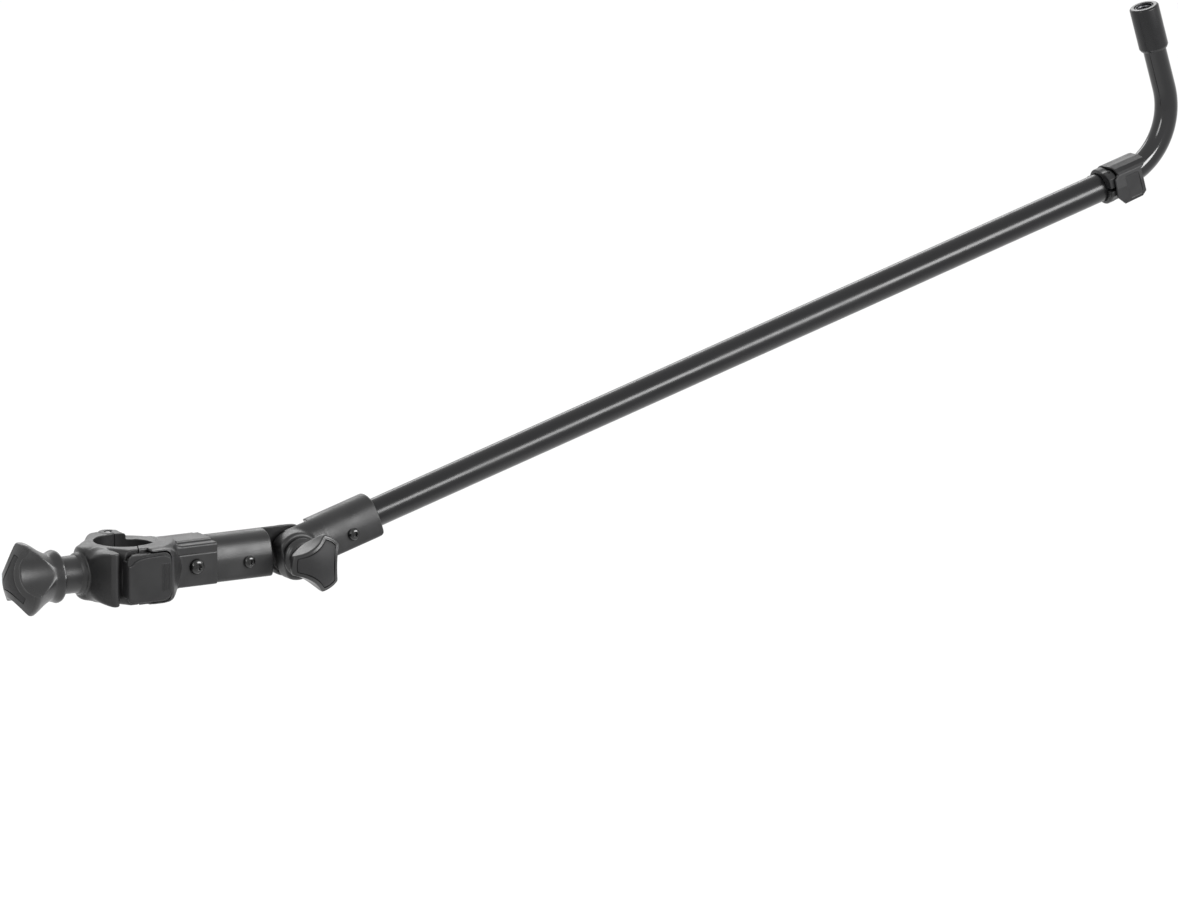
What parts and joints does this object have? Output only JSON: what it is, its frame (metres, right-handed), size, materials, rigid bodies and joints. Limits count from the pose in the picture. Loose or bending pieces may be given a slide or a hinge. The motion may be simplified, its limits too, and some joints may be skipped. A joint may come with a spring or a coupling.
{
  "type": "clamp-on telescoping boom arm",
  "caption": "Hinged ring clamp with a tri-lobe clamp knob, a tilt joint and a telescoping bent tube arm that ends in a threaded sleeve.",
  "frame": {"origin": "on the axis of the clamp's pole bore, at mid height of the neck and the socket block", "axes": "+Z along the pole, upwards; +X from the pole towards the arm; -Y the side of the latch and of the tilt knob"},
  "size_m": [0.8043, 0.0733, 0.2943],
  "materials": {
    "casting": "black powder coat on die-cast aluminium",
    "moulded": "satin moulded nylon",
    "tube_black": "satin black steel tube",
    "tube_gloss": "gloss black steel tube",
    "steel_black": "black oxide",
    "steel": "bright zinc",
    "brass": "machined",
    "rubber": "matte"
  },
  "bodies": {
    "clamp_base": {"clamp_body": "casting", "hinge_pin": "steel", "latch_pin": "steel", "latch_spring": "steel", "block_screw": "steel_black", "block_nut": "steel", "spigot": "steel", "tilt_stub": "casting", "stub_screw": "steel_black", "tilt_bolt": "steel", "friction_washer": "rubber"},
    "jaw": {"swing_jaw": "casting", "neck_insert": "brass"},
    "pad": {"pad_shoe": "moulded", "pad_face": "rubber"},
    "clamp_knob_set": {"clamp_screw": "steel", "clamp_knob": "moulded", "clamp_knob_panel": "moulded"},
    "latch": {"latch_lever": "moulded"},
    "arm": {"arm_socket": "casting", "socket_screw": "steel_black", "outer_tube": "tube_black", "tube_collar": "moulded", "lever_pin": "steel"},
    "tilt_washer": {"thrust_washer": "steel"},
    "tilt_knob_set": {"tilt_knob": "moulded", "tilt_knob_insert": "brass", "tilt_knob_panel": "moulded"},
    "lock_lever": {"flip_lever": "moulded"},
    "extension": {"inner_guide": "moulded"},
    "end_tube": {"inner_tube": "tube_gloss", "end_sleeve": "steel_black", "sleeve_insert": "steel"}
  },
  "joints": [
    {"name": "jaw_hinge", "type": "hinge", "parent": "clamp_base", "child": "jaw", "pos_m": [0.003, 0.026, 0], "axis": [0, 0, -1], "range_deg": [0, 75]},
    {"name": "pad_slide", "type": "slide", "parent": "jaw", "child": "pad", "axis": [1, 0, 0], "range_m": [-0.002, 0.005]},
    {"name": "clamp_knob_turn", "type": "hinge", "parent": "pad", "child": "clamp_knob_set", "pos_m": [0, 0, 0], "axis": [1, 0, 0], "range_deg": [-576, 1440]},
    {"name": "latch_press", "type": "hinge", "parent": "clamp_base", "child": "latch", "pos_m": [-0.001, -0.0288, 0], "axis": [0, 0, 1], "range_deg": [0, 9], "stiffness_Nm_per_rad": 0.3, "springref_deg": -8.59, "deforming": ["latch_spring"]},
    {"name": "arm_tilt", "type": "hinge", "parent": "clamp_base", "child": "arm", "pos_m": [0.11, 0, -0.0029], "axis": [0, -1, 0], "range_deg": [-105, 68]},
    {"name": "tilt_knob_slide", "type": "slide", "parent": "clamp_base", "child": "tilt_washer", "axis": [0, -1, 0], "range_m": [0, 0.0015]},
    {"name": "tilt_knob_turn", "type": "hinge", "parent": "tilt_washer", "child": "tilt_knob_set", "pos_m": [0.11, 0, -0.0029], "axis": [0, -1, 0], "range_deg": [0, 432]},
    {"name": "lock_lever_flip", "type": "hinge", "parent": "arm", "child": "lock_lever", "pos_m": [0.68512, 0.013, 0.16809], "axis": [-0.9598, 0, -0.2807], "range_deg": [0, 95]},
    {"name": "arm_extend", "type": "slide", "parent": "arm", "child": "extension", "axis": [0.9598, 0, 0.2807], "range_m": [0, 0.45]},
    {"name": "end_swivel", "type": "hinge", "parent": "extension", "child": "end_tube", "pos_m": [0.39775, 0, 0.08197], "axis": [0.9598, 0, 0.2807], "continuous": true}
  ],
  "couplings": [
    {"joint": "clamp_knob_turn", "follows": "pad_slide", "rad_per_m": 5026.5},
    {"joint": "tilt_knob_turn", "follows": "tilt_knob_slide", "rad_per_m": 5026.5}
  ]
}
